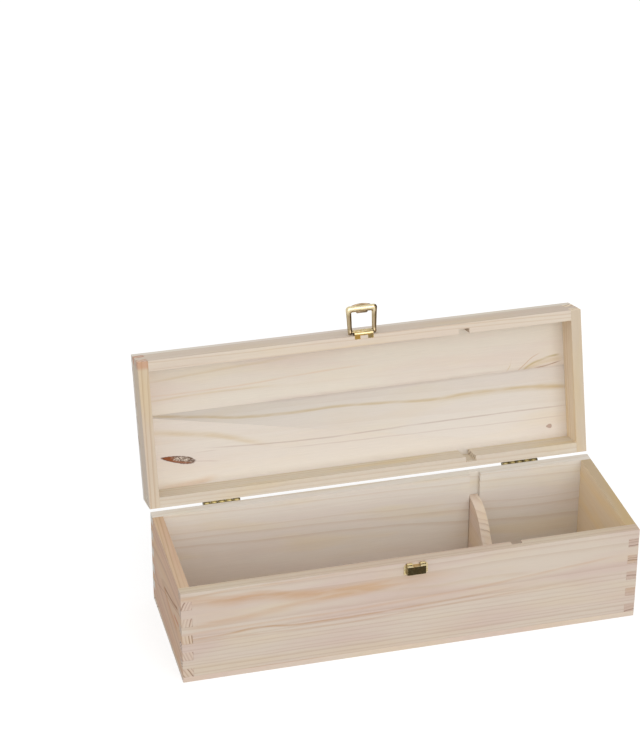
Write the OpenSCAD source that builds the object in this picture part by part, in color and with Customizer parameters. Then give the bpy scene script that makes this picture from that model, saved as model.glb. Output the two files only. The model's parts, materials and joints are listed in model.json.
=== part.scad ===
/* [Box] */
// Outside length of the box
box_l = 366; // [300:1:460]
// Outside width of the box, front to back
box_w = 120; // [96:1:150]
// Thickness of the front, back and end boards
wall_t = 8.5; // [6.5:0.5:11]
// Thickness of the bottom panel
bottom_t = 4.5; // [3:0.5:9]
// Thickness of the lid's top panel
panel_t = 7.05; // [4:0.05:12]

/* [Finger joints] */
// Height of one finger, and of the gap between two fingers
finger_h = 7.65; // [6:0.05:10]
// Fingers and gaps up the base, counted together
base_steps = 10; // [8:2:14]
// Fingers and gaps up the lid's frame, counted together
lid_steps = 3; // [3:2:5]

/* [Lid] */
// Angle through which the lid opens before the hinges stop it
lid_open = 105.5; // [90:0.5:120]
// Gap left between the rims when the lid is shut
rim_gap = 0.3; // [0.2:0.05:1]
// Width of the front one of the two boards glued into the top panel
seam_y = 50.3; // [30:0.1:66]

/* [Neck rest] */
// Place of the neck rest along the box, from its middle
rest_x = 83.6; // [40:0.1:120]
// Thickness of the neck rest
rest_t = 8; // [5:0.5:12]
// Depth of the grooves that hold the neck rest
groove_d = 4; // [2:0.5:5]
// Play between the neck rest and its grooves, on each side
rest_play = 0.35; // [0.2:0.05:0.8]
// How far the neck rest's top lies below the base's rim
rest_drop = 21; // [12:0.5:32]
// Depth of the neck's cut-out, below the neck rest's top
cut_depth = 28; // [18:0.5:34]
// Radius of the cut-out's bottom, where the neck lies
neck_r = 24; // [16:0.5:30]

/* [Hinges] */
// Distance from the box's ends to the middle of each hinge
hinge_inset = 58; // [30:1:100]
// Length of a hinge
hinge_l = 30; // [24:1:40]
// Height of each leaf from the hinge's axis
leaf_h = 11; // [9:0.5:14]
// Sheet thickness of the leaves
leaf_t = 0.6; // [0.4:0.05:0.8]
// Knuckles on one hinge, counted over both leaves
knuckles = 5; // [3:2:7]
// Gap between neighbouring knuckles
knuckle_gap = 0.35; // [0.25:0.05:0.6]
// Distance of the hinge's axis behind the box's back
hinge_out = 1.3; // [1.25:0.05:2]
// Outside radius of the knuckles
knuckle_r = 1.1; // [1:0.05:1.15]
// Radius of the hinge pin
hinge_pin_r = 0.6; // [0.4:0.05:0.65]
// Running clearance of a pin in its knuckles, on the radius
pin_play = 0.05; // [0.02:0.01:0.1]

/* [Nails] */
// Radius of a nail's shank
nail_r = 0.6; // [0.4:0.05:0.9]
// Length of a nail's shank below the leaf
nail_l = 6.5; // [4:0.5:6.5]
// Radius of a nail's head
nail_head_r = 1.5; // [1.2:0.1:2]
// Height of a nail's domed head
nail_head_h = 0.6; // [0.4:0.1:1]
// Distance between the two nails of a leaf
nail_pitch = 18; // [10:1:20]

/* [Clasp] */
// Place of the clasp along the box, from its middle
clasp_x = 0.5; // [-60:0.5:60]
// Height of the loop's pivot above the lid's rim
pivot_up = 5.5; // [5:0.5:12]
// Distance of the loop's pivot in front of the box
pivot_out = 2; // [1.9:0.1:3]
// Width of the plate on the lid
plate_w = 15.6; // [12:0.2:18]
// How far the lid's plate stands out from the wood
plate_out = 2.2; // [2:0.1:4]
// Outside radius of the plate's rolled barrel
barrel_r = 1.8; // [1.6:0.1:1.9]
// Sheet thickness of the clasp's plates
sheet_t = 0.6; // [0.4:0.1:0.8]
// Width of the gap between the two tabs of the plate, and of the catch
notch_w = 6.2; // [4:0.2:8]
// How far the plate's two tabs fold over the lid's rim
tab_in = 2.8; // [1:0.1:3]

/* [Loop] */
// Length of the loop from its pivot to its free edge
loop_l = 22; // [21:0.5:32]
// Width of the loop at its free end
loop_w = 26; // [23:0.5:32]
// How much narrower the loop is at its pivot than at its free end
loop_taper = 2.4; // [0:0.1:3]
// Width of the loop's side bars at the pivot
bar_w = 3.6; // [3:0.1:4.1]
// How much narrower the loop's opening is at its pivot than at its far end
hole_taper = 0.4; // [0:0.1:2]
// Width of the bar at the free end
end_bar = 5.3; // [4:0.1:6]
// Width of the tongue on the free bar, which snaps under the catch
tongue_w = 9.6; // [6:0.2:14]
// Radius of the loop's two free corners
loop_corner = 3; // [1:0.5:4]
// Radius of the pivot pins on the loop
trunnion_r = 1; // [0.7:0.05:1.1]
// How far the arched finger lip stands past the loop's free edge
lip_out = 1.3; // [0.6:0.1:2.5]
// Angle of the loop from its shut place, when it stands up
loop_rest = 82.5; // [60:0.5:100]

/* [Catch] */
// Width of the catch's front face
catch_w = 14.8; // [12:0.2:15.2]
// Height of the catch's raised body
catch_h = 9.4; // [7:0.1:10]
// Radius of the two tabs rolled along the catch's top
roll_r = 1.3; // [1:0.1:1.4]
// Distance of the front face's top edge below the catch's top
catch_step = 2.2; // [2:0.1:4]
// How far the catch stands out from the wood
catch_out = 4; // [3:0.1:5]
// How far each side of the catch's body slopes out to its foot
catch_flare = 0.4; // [0:0.1:0.6]
// Width of the catch's flange on the wood
flange_w = 19; // [16:0.5:26]
// Distance of the catch's top below the base's rim
catch_drop = 0.3; // [0.3:0.1:2]

/* [Hidden] */
$fn = 48;

pine = "#e6d8c4";
pine_end = "#d9bf9f";
brass = "#c8a75c";

// A cut runs this far past the face that it opens
over = 0.5;

base_h = bottom_t + base_steps * finger_h;
lid_z = base_h + rim_gap;
rail_h = lid_steps * finger_h;
panel_z = lid_z + rail_h;

// Neck rest and its grooves
groove_w = rest_t + 2 * rest_play;
rest_seat = 0.3;
rest_half = box_w / 2 - wall_t + groove_d - rest_play;
rest_z = bottom_t + rest_seat;
rest_h = base_h - rest_drop - rest_z;
cut_half = box_w / 2 - wall_t;
neck_mid = rest_h - cut_depth + neck_r;
ease_r = (pow(cut_half, 2) + pow(cut_depth - neck_r, 2) - pow(neck_r, 2)) / (2 * cut_depth);
ease_mid = rest_h - ease_r;
// Angle from straight down at which the neck's arc runs into the arcs beside it
turn = asin(cut_half / (neck_r + ease_r));
arc_steps = 20;

// Hinges
hinge_y = box_w / 2 + hinge_out;
hinge_z = base_h + rim_gap / 2;
hinge_x = box_l / 2 - hinge_inset;
knuckle_l = (hinge_l - (knuckles - 1) * knuckle_gap) / knuckles;
knuckle_pitch = knuckle_l + knuckle_gap;
leaf_top = knuckle_r + 0.35;
leaf_corner = 2;
bore_r = hinge_pin_r + pin_play;
nail_z = leaf_h - 3.5;
nail_fit = 0.02;
stop_near = knuckle_r + 0.5;
stop_far = stop_near + 2.6;
stop_gap = 0.15;
stop_w = 4;

// Clasp
pivot_z = lid_z + pivot_up;
pivot_y = -box_w / 2 - pivot_out;
prong_r = 0.8;
prong_l = 5;
prong_tip = 1.5;
prong_x = 4.5;
tab_t = 0.5;
tab_w = (plate_w - notch_w) / 2;
trunnion_fit = 0.08;
side_play = 0.4;
loop_back = 1.1;
loop_front = 2.4;
loop_eye = 1.7;
loop_foot = 4;
loop_edge = 0.9;
hole_end = loop_l - end_bar;
loop_foot_w = loop_w - loop_taper;
barrel_half = loop_foot_w / 2 - bar_w - side_play;
lip_half = loop_w * 0.3;
lip_t = 1.8;
lip_set = 0.3;
lip_root = 1;
trunnion_l = 3.6;
plate_top = pivot_z - barrel_r + sheet_t;
plate_prong_z = lid_z + 2.2;
catch_z = base_h - catch_drop;
catch_prong_z = catch_z - 5;
catch_notch = 2.2;
flange_below = 1.1;
flange_drop = 1;
flange_corner = 1.8;

// Tongue of the loop, its tip just under the catch when the loop is shut
hook_play = 0.3;
tongue_tip = pivot_z - (catch_z - catch_h) + hook_play;
tongue_t = 1.2;
tongue_root = 1;

module pose_lid() {
    translate([0, hinge_y, hinge_z])
        rotate([-lid_open, 0, 0])
            translate([0, -hinge_y, -hinge_z])
                children();
}

// Boards

// True where the end board has its finger and the long board its gap
function end_finger(step) = step % 2 == 0;

// How far a cut at this step runs past the board's edge, which is at the step named
function past(step, edge) = step == edge ? over : 0;

// A board along the box, standing on z0, with gaps for the end boards' fingers
module long_board(z0, first, steps) {
    difference() {
        translate([-box_l / 2, 0, z0])
            cube([box_l, wall_t, steps * finger_h]);
        for (i = [0 : steps - 1], side = [-1, 1])
            if (end_finger(first + i))
                translate([side * (box_l - wall_t + over) / 2, -over, z0 + i * finger_h - past(i, 0)])
                    translate([-(wall_t + over) / 2, 0, 0])
                        cube([wall_t + over, wall_t + 2 * over,
                            finger_h + past(i, 0) + past(i, steps - 1)]);
    }
}

// A board across the end, standing on z0, with its fingers at the even steps
module end_board(z0, first, steps) {
    difference() {
        translate([0, -box_w / 2, z0])
            cube([wall_t, box_w, steps * finger_h]);
        for (i = [0 : steps - 1], side = [-1, 1])
            if (!end_finger(first + i))
                translate([-over, side * (box_w - wall_t + over) / 2, z0 + i * finger_h - past(i, 0)])
                    translate([0, -(wall_t + over) / 2, 0])
                        cube([wall_t + 2 * over, wall_t + over,
                            finger_h + past(i, 0) + past(i, steps - 1)]);
    }
}

// Groove for the neck rest in a long board; inner is the board's inner face
module rest_groove(inner, side, z0, h) {
    translate([rest_x, inner + side * (groove_d - over) / 2, z0 + h / 2])
        cube([groove_w, groove_d + over, h + 2 * over], center = true);
}

module hinge_nail_places() {
    for (side = [-1, 1], n = [-1, 1])
        translate([side * hinge_x + n * nail_pitch / 2, 0, 0])
            children();
}

// Pilot holes in the back of the box, at height z
module nail_holes(z) {
    hinge_nail_places()
        translate([0, box_w / 2 + over, z])
            rotate([90, 0, 0])
                cylinder(r = nail_r + nail_fit, h = over + nail_l + nail_fit);
}

module prong_places(z) {
    for (side = [-1, 1])
        translate([clasp_x + side * prong_x, -box_w / 2, z])
            children();
}

// Holes that the clasp's prongs leave in the front of the box
module prong_holes(z) {
    prong_places(z)
        translate([0, -over, 0])
            rotate([-90, 0, 0])
                cylinder(r = prong_r + nail_fit, h = over + prong_l + nail_fit);
}

module base_front_board() {
    color(pine)
        difference() {
            translate([0, -box_w / 2, 0])
                long_board(bottom_t, 0, base_steps);
            rest_groove(-box_w / 2 + wall_t, -1, bottom_t, base_h - bottom_t);
            prong_holes(catch_prong_z);
        }
}

module base_back_board() {
    color(pine)
        difference() {
            translate([0, box_w / 2 - wall_t, 0])
                long_board(bottom_t, 0, base_steps);
            rest_groove(box_w / 2 - wall_t, 1, bottom_t, base_h - bottom_t);
            nail_holes(hinge_z - nail_z);
        }
}

module base_left_end() {
    color(pine_end)
        translate([-box_l / 2, 0, 0])
            end_board(bottom_t, 0, base_steps);
}

module base_right_end() {
    color(pine_end)
        translate([box_l / 2 - wall_t, 0, 0])
            end_board(bottom_t, 0, base_steps);
}

module bottom_panel() {
    color(pine)
        translate([-box_l / 2, -box_w / 2, 0])
            cube([box_l, box_w, bottom_t]);
}

// Points of an arc after its first, at angles counted from straight below its middle
function arc(y, z, r, from, to) = [
    for (i = [1 : arc_steps])
        let (a = from + (to - from) * i / arc_steps)
            [y + r * sin(a), z - r * cos(a)]
];

// The neck rest across the box, its foot at zero: an arc under the neck that
// runs into an arc up to each wall
function rest_outline() = concat(
    [[-rest_half, 0], [rest_half, 0], [rest_half, rest_h], [cut_half, rest_h]],
    arc(cut_half, ease_mid, ease_r, 180, 180 + turn),
    arc(0, neck_mid, neck_r, turn, -turn),
    arc(-cut_half, ease_mid, ease_r, 180 - turn, 180),
    [[-rest_half, rest_h]]
);

module neck_rest() {
    color(pine)
        translate([rest_x - rest_t / 2, 0, rest_z])
            rotate([90, 0, 90])
                linear_extrude(height = rest_t)
                    polygon(rest_outline());
}

module lid_front_rail() {
    color(pine)
        pose_lid()
            difference() {
                translate([0, -box_w / 2, 0])
                    long_board(lid_z, base_steps, lid_steps);
                rest_groove(-box_w / 2 + wall_t, -1, lid_z, rail_h);
                prong_holes(plate_prong_z);
                rim_tabs(nail_fit);
            }
}

module lid_back_rail() {
    color(pine)
        pose_lid()
            difference() {
                translate([0, box_w / 2 - wall_t, 0])
                    long_board(lid_z, base_steps, lid_steps);
                rest_groove(box_w / 2 - wall_t, 1, lid_z, rail_h);
                nail_holes(hinge_z + nail_z);
            }
}

module lid_left_end() {
    color(pine_end)
        pose_lid()
            translate([-box_l / 2, 0, 0])
                end_board(lid_z, base_steps, lid_steps);
}

module lid_right_end() {
    color(pine_end)
        pose_lid()
            translate([box_l / 2 - wall_t, 0, 0])
                end_board(lid_z, base_steps, lid_steps);
}

module lid_panel_front_board() {
    color(pine)
        pose_lid()
            translate([-box_l / 2, -box_w / 2, panel_z])
                cube([box_l, seam_y, panel_t]);
}

module lid_panel_back_board() {
    color(pine)
        pose_lid()
            translate([-box_l / 2, -box_w / 2 + seam_y, panel_z])
                cube([box_l, box_w - seam_y, panel_t]);
}

// Hinges: the axis runs along X through the origin, the leaf drawn stands
// up from it, and the box lies on the negative side of Y

// Outline of a leaf's flat sheet, across its length and up from the axis
module leaf_outline() {
    half = hinge_l / 2;
    translate([-half, leaf_top])
        square([hinge_l, leaf_h - leaf_corner - leaf_top]);
    translate([-half + leaf_corner, leaf_top])
        square([hinge_l - 2 * leaf_corner, leaf_h - leaf_top]);
    for (side = [-1, 1])
        translate([side * (half - leaf_corner), leaf_h - leaf_corner])
            circle(r = leaf_corner);
}

// Pressed lug that stops the other leaf's lug when the lid is fully open
module stop_lug() {
    half = (180 - lid_open) / 2;
    face_y = leaf_t - hinge_out;
    along = [sin(half), cos(half)];
    back = stop_gap * [-cos(half), sin(half)];
    near = stop_near * along + back;
    far = stop_far * along + back;
    rotate([90, 0, 90])
        linear_extrude(height = stop_w)
            polygon([[face_y - leaf_t / 2, near[1] + stop_gap], near, far,
                [face_y - leaf_t / 2, far[1] + 1]]);
}

// A leaf with its knuckles: first is 0 for the outer ones, 1 for the inner ones
module leaf(first) {
    difference() {
        union() {
            translate([0, leaf_t - hinge_out, 0])
                rotate([90, 0, 0])
                    linear_extrude(height = leaf_t)
                        leaf_outline();
            for (i = [first : 2 : knuckles - 1])
                translate([i * knuckle_pitch - hinge_l / 2, 0, 0]) {
                    translate([0, -hinge_out, 0])
                        cube([knuckle_l, leaf_t, leaf_top + over]);
                    rotate([0, 90, 0])
                        cylinder(r = knuckle_r, h = knuckle_l);
                }
            for (x = [-hinge_l / 2, hinge_l / 2 - stop_w])
                translate([x, 0, 0])
                    stop_lug();
        }
        translate([-hinge_l / 2 - over, 0, 0])
            rotate([0, 90, 0])
                cylinder(r = bore_r, h = hinge_l + 2 * over);
        for (n = [-1, 1])
            translate([n * nail_pitch / 2, over, nail_z])
                rotate([90, 0, 0])
                    cylinder(r = nail_r + nail_fit, h = hinge_out + 2 * over);
    }
}

module hinge_base_leaf(x) {
    color(brass)
        translate([x, hinge_y, hinge_z])
            mirror([0, 0, 1])
                leaf(0);
}

module hinge_lid_leaf(x) {
    color(brass)
        pose_lid()
            translate([x, hinge_y, hinge_z])
                leaf(1);
}

module hinge_pin(x) {
    color(brass)
        translate([x - hinge_l / 2, hinge_y, hinge_z])
            rotate([0, 90, 0])
                cylinder(r = hinge_pin_r, h = hinge_l);
}

module left_hinge_base_leaf() hinge_base_leaf(-hinge_x);
module left_hinge_lid_leaf() hinge_lid_leaf(-hinge_x);
module left_hinge_pin() hinge_pin(-hinge_x);
module right_hinge_base_leaf() hinge_base_leaf(hinge_x);
module right_hinge_lid_leaf() hinge_lid_leaf(hinge_x);
module right_hinge_pin() hinge_pin(hinge_x);

// Half section of a nail: shank down from the leaf, domed head above it
module nail() {
    dome_r = (nail_head_r * nail_head_r + nail_head_h * nail_head_h) / (2 * nail_head_h);
    rotate_extrude() {
        translate([0, -nail_l])
            square([nail_r, nail_l]);
        intersection() {
            translate([0, nail_head_h - dome_r])
                circle(r = dome_r);
            square([nail_head_r, nail_head_h]);
        }
    }
}

module nails_at(z) {
    color(brass)
        hinge_nail_places()
            translate([0, box_w / 2 + leaf_t, z])
                rotate([-90, 0, 0])
                    nail();
}

module base_hinge_nails() {
    nails_at(hinge_z - nail_z);
}

module lid_hinge_nails() {
    pose_lid()
        nails_at(hinge_z + nail_z);
}

// Clasp

// The two tabs that the lid's plate folds over the rim, with a fit all round
module rim_tabs(fit) {
    for (side = [-1, 1])
        translate([clasp_x + side * (notch_w + tab_w) / 2, -box_w / 2 + (tab_in - over) / 2,
            lid_z + (tab_t - over) / 2])
            cube([tab_w + 2 * fit, tab_in + over + 2 * fit, tab_t + over + 2 * fit], center = true);
}

module prongs(z) {
    prong_places(z)
        rotate([-90, 0, 0]) {
            cylinder(r = prong_r, h = prong_l - prong_tip);
            translate([0, 0, prong_l - prong_tip])
                cylinder(r1 = prong_r, r2 = prong_r / 4, h = prong_tip);
        }
}

// Plate on the lid: a sheet folded flat round a space open at both ends, the barrel
// rolled at its top edge, two tabs over the rim and two prongs into the wood
module clasp_plate() {
    color(brass)
        pose_lid() {
            difference() {
                union() {
                    translate([clasp_x - plate_w / 2, -box_w / 2 - plate_out, lid_z])
                        cube([plate_w, plate_out, plate_top - lid_z]);
                    translate([clasp_x - barrel_half, pivot_y, pivot_z])
                        rotate([0, 90, 0])
                            cylinder(r = barrel_r, h = 2 * barrel_half);
                }
                translate([clasp_x - plate_w / 2 - over,
                    -box_w / 2 - plate_out + sheet_t, lid_z + sheet_t])
                    cube([plate_w + 2 * over, plate_out - 2 * sheet_t,
                        plate_top - lid_z - 2 * sheet_t]);
                translate([clasp_x - barrel_half - over, pivot_y, pivot_z])
                    rotate([0, 90, 0])
                        cylinder(r = trunnion_r + trunnion_fit, h = 2 * (barrel_half + over));
            }
            for (side = [-1, 1])
                translate([clasp_x + side * (notch_w + tab_w) / 2 - tab_w / 2,
                    -box_w / 2 - sheet_t, lid_z])
                    cube([tab_w, tab_in + sheet_t, tab_t]);
            prongs(plate_prong_z);
        }
}

// Half the width of the loop, and of its opening, at a distance from its pivot
function loop_half(s) = (loop_foot_w + loop_taper * s / loop_l) / 2;
function hole_half(s) = loop_foot_w / 2 - bar_w + hole_taper * s / hole_end / 2;

// The loop seen from the front, hanging down from its pivot
module loop_outline() {
    near = loop_half(-loop_eye);
    far = loop_half(loop_l);
    foot = hole_half(-loop_eye - over);
    end = hole_half(hole_end);
    corner_z = loop_corner - loop_l;
    difference() {
        union() {
            polygon([[-near, loop_eye], [near, loop_eye], [far, corner_z], [-far, corner_z]]);
            translate([-(far - loop_corner), -loop_l])
                square([2 * (far - loop_corner), 2 * loop_corner]);
            for (side = [-1, 1])
                translate([side * (far - loop_corner), corner_z])
                    circle(r = loop_corner);
        }
        polygon([[-foot, loop_eye + over], [foot, loop_eye + over],
            [end, -hole_end], [-end, -hole_end]]);
    }
}

// The loop seen from its side: out from the box to the left, its free end down
module loop_profile() {
    circle(r = loop_eye);
    polygon([[loop_eye, 0], [loop_back, -loop_foot / 2], [loop_back, -loop_l],
        [-loop_front + loop_edge, -loop_l], [-loop_front, -loop_l + loop_edge],
        [-loop_front, -loop_foot], [-loop_eye, 0]]);
}

// Arched lip for the finger, at the middle of the free end
module loop_lip() {
    lip_r = (lip_half * lip_half + lip_out * lip_out) / (2 * lip_out);
    translate([0, lip_t - loop_front + lip_set, 0])
        rotate([90, 0, 0])
            linear_extrude(height = lip_t)
                intersection() {
                    translate([0, lip_r - lip_out - loop_l])
                        circle(r = lip_r, $fn = 180);
                    translate([-lip_half, -loop_l - lip_out - over])
                        square([2 * lip_half, lip_out + over + lip_root]);
                }
}

// Tongue at the back of the free bar, reaching into the loop's opening
module loop_tongue() {
    translate([-tongue_w / 2, loop_back - tongue_t, -hole_end - tongue_root])
        cube([tongue_w, tongue_t, hole_end + tongue_root - tongue_tip]);
}

module clasp_loop() {
    color(brass)
        pose_lid()
            translate([clasp_x, pivot_y, pivot_z])
                rotate([-loop_rest, 0, 0]) {
                    intersection() {
                        translate([0, loop_eye, 0])
                            rotate([90, 0, 0])
                                linear_extrude(height = loop_eye + loop_front)
                                    loop_outline();
                        translate([-loop_w, 0, 0])
                            rotate([90, 0, 90])
                                linear_extrude(height = 2 * loop_w)
                                    loop_profile();
                    }
                    loop_lip();
                    loop_tongue();
                    for (side = [-1, 1])
                        translate([side * (hole_half(0) + bar_w / 2 - trunnion_l / 2), 0, 0])
                            rotate([0, 90, 0])
                                cylinder(r = trunnion_r, h = trunnion_l + bar_w, center = true);
                }
}

// Section of the catch's body on the wood, drawn for a given wall inside it
module catch_section(inset) {
    foot = catch_w / 2 + catch_flare - inset;
    face = catch_w / 2 - inset;
    polygon([[-foot, -sheet_t], [-face, -catch_out + inset], [face, -catch_out + inset],
        [foot, -sheet_t]]);
}

// The catch's body seen from its side: its top runs out from under the rolled
// tabs and slopes down to the front face
module catch_profile() {
    polygon([[0, -roll_r], [-2 * roll_r, -roll_r], [-catch_out, -catch_step],
        [-catch_out, -catch_h], [0, -catch_h]]);
}

// Sheet of the catch that lies on the wood
module flange_outline() {
    half = flange_w / 2;
    low = -catch_h - flange_below;
    shoulder = -flange_drop - flange_corner;
    polygon([[-half, low], [half, low], [half, shoulder], [half - flange_corner, -flange_drop],
        [flange_corner - half, -flange_drop], [-half, shoulder]]);
}

// Catch on the base: a folded cup on a flange, open below, with two rolled tabs
// along its top and a notch between them
module catch() {
    color(brass) {
        translate([clasp_x, -box_w / 2, catch_z])
            difference() {
                union() {
                    rotate([90, 0, 0])
                        linear_extrude(height = sheet_t)
                            flange_outline();
                    intersection() {
                        translate([0, 0, -catch_h])
                            linear_extrude(height = catch_h)
                                catch_section(0);
                        translate([-flange_w / 2, 0, 0])
                            rotate([90, 0, 90])
                                linear_extrude(height = flange_w)
                                    catch_profile();
                    }
                    translate([-catch_w / 2, -roll_r, -roll_r])
                        rotate([0, 90, 0])
                            cylinder(r = roll_r, h = catch_w);
                }
                translate([0, 0, -catch_h - over])
                    linear_extrude(height = catch_h + over - catch_step - sheet_t)
                        catch_section(sheet_t);
                translate([-notch_w / 2, -catch_out - over, -catch_notch])
                    cube([notch_w, catch_out + 2 * over, catch_notch + over]);
            }
        prongs(catch_prong_z);
    }
}

base_front_board();
base_back_board();
base_left_end();
base_right_end();
bottom_panel();
neck_rest();
lid_front_rail();
lid_back_rail();
lid_left_end();
lid_right_end();
lid_panel_front_board();
lid_panel_back_board();
left_hinge_base_leaf();
left_hinge_lid_leaf();
left_hinge_pin();
right_hinge_base_leaf();
right_hinge_lid_leaf();
right_hinge_pin();
base_hinge_nails();
lid_hinge_nails();
clasp_plate();
clasp_loop();
catch();
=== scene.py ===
"""Looks of a pine bottle box with a hinged lid, a brass loop clasp and a neck rest.

The box stands open on a white floor. Its boards and fittings are the CAD model's own
nodes with eased edges, and only the clasp's loop is drawn again, in rounded sheet.
"""

import json
import math
from collections import namedtuple

import bmesh
import bpy
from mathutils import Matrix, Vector

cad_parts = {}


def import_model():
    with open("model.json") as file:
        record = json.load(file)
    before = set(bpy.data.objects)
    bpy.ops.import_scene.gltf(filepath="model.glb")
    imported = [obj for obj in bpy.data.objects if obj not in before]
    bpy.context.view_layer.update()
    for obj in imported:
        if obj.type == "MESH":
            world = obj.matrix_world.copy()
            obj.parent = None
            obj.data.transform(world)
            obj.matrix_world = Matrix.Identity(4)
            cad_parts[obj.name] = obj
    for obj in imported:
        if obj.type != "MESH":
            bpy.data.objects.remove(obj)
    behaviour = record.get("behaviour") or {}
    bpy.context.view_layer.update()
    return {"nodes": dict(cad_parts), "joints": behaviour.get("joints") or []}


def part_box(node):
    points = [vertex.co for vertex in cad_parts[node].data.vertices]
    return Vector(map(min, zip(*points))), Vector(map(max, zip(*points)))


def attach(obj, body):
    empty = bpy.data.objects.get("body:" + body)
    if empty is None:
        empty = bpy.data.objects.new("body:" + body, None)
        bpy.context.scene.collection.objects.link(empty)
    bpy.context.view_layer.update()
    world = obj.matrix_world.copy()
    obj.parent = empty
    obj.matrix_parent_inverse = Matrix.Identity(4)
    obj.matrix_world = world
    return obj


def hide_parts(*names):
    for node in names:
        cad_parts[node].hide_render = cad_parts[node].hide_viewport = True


MM = 0.001

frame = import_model()

JOINTS = {joint["name"]: joint for joint in frame["joints"]}
# How far the open lid turns to shut, and the standing loop to hook onto the catch
LID_OPEN = math.radians(JOINTS["lid_hinge"]["range_deg"][1])
LOOP_UP = math.radians(JOINTS["loop_hinge"]["range_deg"][1])
# Places in metres
HINGE = Vector(JOINTS["lid_hinge"]["pos_m"])
PIVOT = Vector(JOINTS["loop_hinge"]["pos_m"])


# ---------------------------------------------------------------- node helper
class Tree:
    """Builds the nodes of a material or a world; its methods return output sockets."""

    def __init__(self, owner):
        owner.use_nodes = True
        self.owner = owner
        self.tree = owner.node_tree
        self.tree.nodes.clear()

    def node(self, kind, **settings):
        n = self.tree.nodes.new(kind)
        for key, value in settings.items():
            setattr(n, key, value)
        return n

    def put(self, socket, value):
        """Links a socket, or sets a plain value; None leaves what is there."""
        if isinstance(value, bpy.types.NodeSocket):
            self.tree.links.new(value, socket)
        elif value is not None:
            socket.default_value = value

    def put_all(self, n, values):
        for socket, value in zip(n.inputs, values):
            self.put(socket, value)

    def math(self, op, a, b=None, clamp=False):
        n = self.node("ShaderNodeMath", operation=op, use_clamp=clamp)
        self.put_all(n, (a, b))
        return n.outputs[0]

    def add(self, a, b):
        return self.math("ADD", a, b)

    def sub(self, a, b):
        return self.math("SUBTRACT", a, b)

    def mul(self, a, b):
        return self.math("MULTIPLY", a, b)

    def div(self, a, b):
        return self.math("DIVIDE", a, b)

    def absolute(self, a):
        return self.math("ABSOLUTE", a)

    def length(self, a, b):
        """The length of the vector (a, b)."""
        return self.math("SQRT", self.add(self.mul(a, a), self.mul(b, b)))

    def scaled(self, v, scale):
        n = self.node("ShaderNodeVectorMath", operation="SCALE")
        self.put(n.inputs[0], v)
        self.put(n.inputs["Scale"], scale)
        return n.outputs[0]

    def dot(self, a, b):
        n = self.node("ShaderNodeVectorMath", operation="DOT_PRODUCT")
        self.put_all(n, (a, b))
        return n.outputs["Value"]

    def join(self, x, y, z):
        n = self.node("ShaderNodeCombineXYZ")
        self.put_all(n, (x, y, z))
        return n.outputs[0]

    def split(self, v):
        n = self.node("ShaderNodeSeparateXYZ")
        self.put(n.inputs[0], v)
        return n.outputs[0], n.outputs[1], n.outputs[2]

    def ramp(self, value, low, high, to_low=0.0, to_high=1.0):
        """Smooth step from to_low to to_high as value goes from low to high."""
        n = self.node("ShaderNodeMapRange", interpolation_type="SMOOTHSTEP")
        self.put_all(n, (value, low, high, to_low, to_high))
        return n.outputs[0]

    def fall(self, value, low, high):
        """Smooth step from 1 down to 0 as value goes from low to high."""
        return self.ramp(value, low, high, 1.0, 0.0)

    def curve(self, value, points, reach, span):
        """A smooth line through the points (x, y), at x = value, x in reach and y in span."""
        (low, high), (bottom, top) = reach, span
        n = self.node("ShaderNodeFloatCurve")
        line = n.mapping.curves[0]
        while len(line.points) < len(points):
            line.points.new(0.5, 0.5)
        for point, (x, y) in zip(line.points, points):
            point.location = ((x - low) / (high - low), (y - bottom) / (top - bottom))
        n.mapping.update()
        self.put(n.inputs["Value"], self.div(self.sub(value, low), high - low))
        return self.add(self.mul(n.outputs[0], top - bottom), bottom)

    def noise(self, vector, scale, detail=2.0, rough=0.5, output="Fac"):
        n = self.node("ShaderNodeTexNoise")
        self.put(n.inputs["Vector"], vector)
        n.inputs["Scale"].default_value = scale
        n.inputs["Detail"].default_value = detail
        n.inputs["Roughness"].default_value = rough
        return n.outputs[output]

    def mix(self, factor, a, b, blend="MIX"):
        n = self.node("ShaderNodeMix", data_type="RGBA", blend_type=blend)
        self.put(n.inputs["Factor"], factor)
        self.put(n.inputs["A"], a)
        self.put(n.inputs["B"], b)
        return n.outputs["Result"]

    def bump(self, height, strength, distance):
        n = self.node("ShaderNodeBump")
        n.inputs["Strength"].default_value = strength
        n.inputs["Distance"].default_value = distance
        self.put(n.inputs["Height"], height)
        return n.outputs[0]

    def seen_ray(self):
        """1 for a ray from the eye, straight or by way of metal or glass, and 0 for light."""
        path = self.node("ShaderNodeLightPath")
        seen = self.math("MAXIMUM", path.outputs["Is Camera Ray"], path.outputs["Is Glossy Ray"])
        return self.math("MAXIMUM", seen, path.outputs["Is Transmission Ray"])

    def output(self, kind, surface):
        """Joins a shader to the output node, and returns the material or world."""
        out = self.node(kind)
        self.put(out.inputs["Surface"], surface)
        return self.owner

    def principled(self, color, roughness, normal=None, **settings):
        """Principled surface; settings are written on the shader's own sockets."""
        shader = self.node("ShaderNodeBsdfPrincipled")
        self.put(shader.inputs["Base Color"], color)
        self.put(shader.inputs["Roughness"], roughness)
        self.put(shader.inputs["Normal"], normal)
        for key, value in settings.items():
            shader.inputs[key].default_value = value
        return self.output("ShaderNodeOutputMaterial", shader.outputs[0])


def new_material(name):
    """A node helper for a new material."""
    return Tree(bpy.data.materials.new(name))


def srgb(r, g, b):
    """An 8-bit display colour as linear RGBA."""

    def lin(c):
        c /= 255
        return c / 12.92 if c <= 0.04045 else ((c + 0.055) / 1.055) ** 2.4

    return (lin(r), lin(g), lin(b), 1.0)


# ---------------------------------------------------------------------- wood
# Board axes: g runs along the grain, u across the board's face, v through it.
GRAIN_AXES = {"along_face": (0, 1, 2), "along_edge": (0, 2, 1), "across": (1, 2, 0)}

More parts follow.
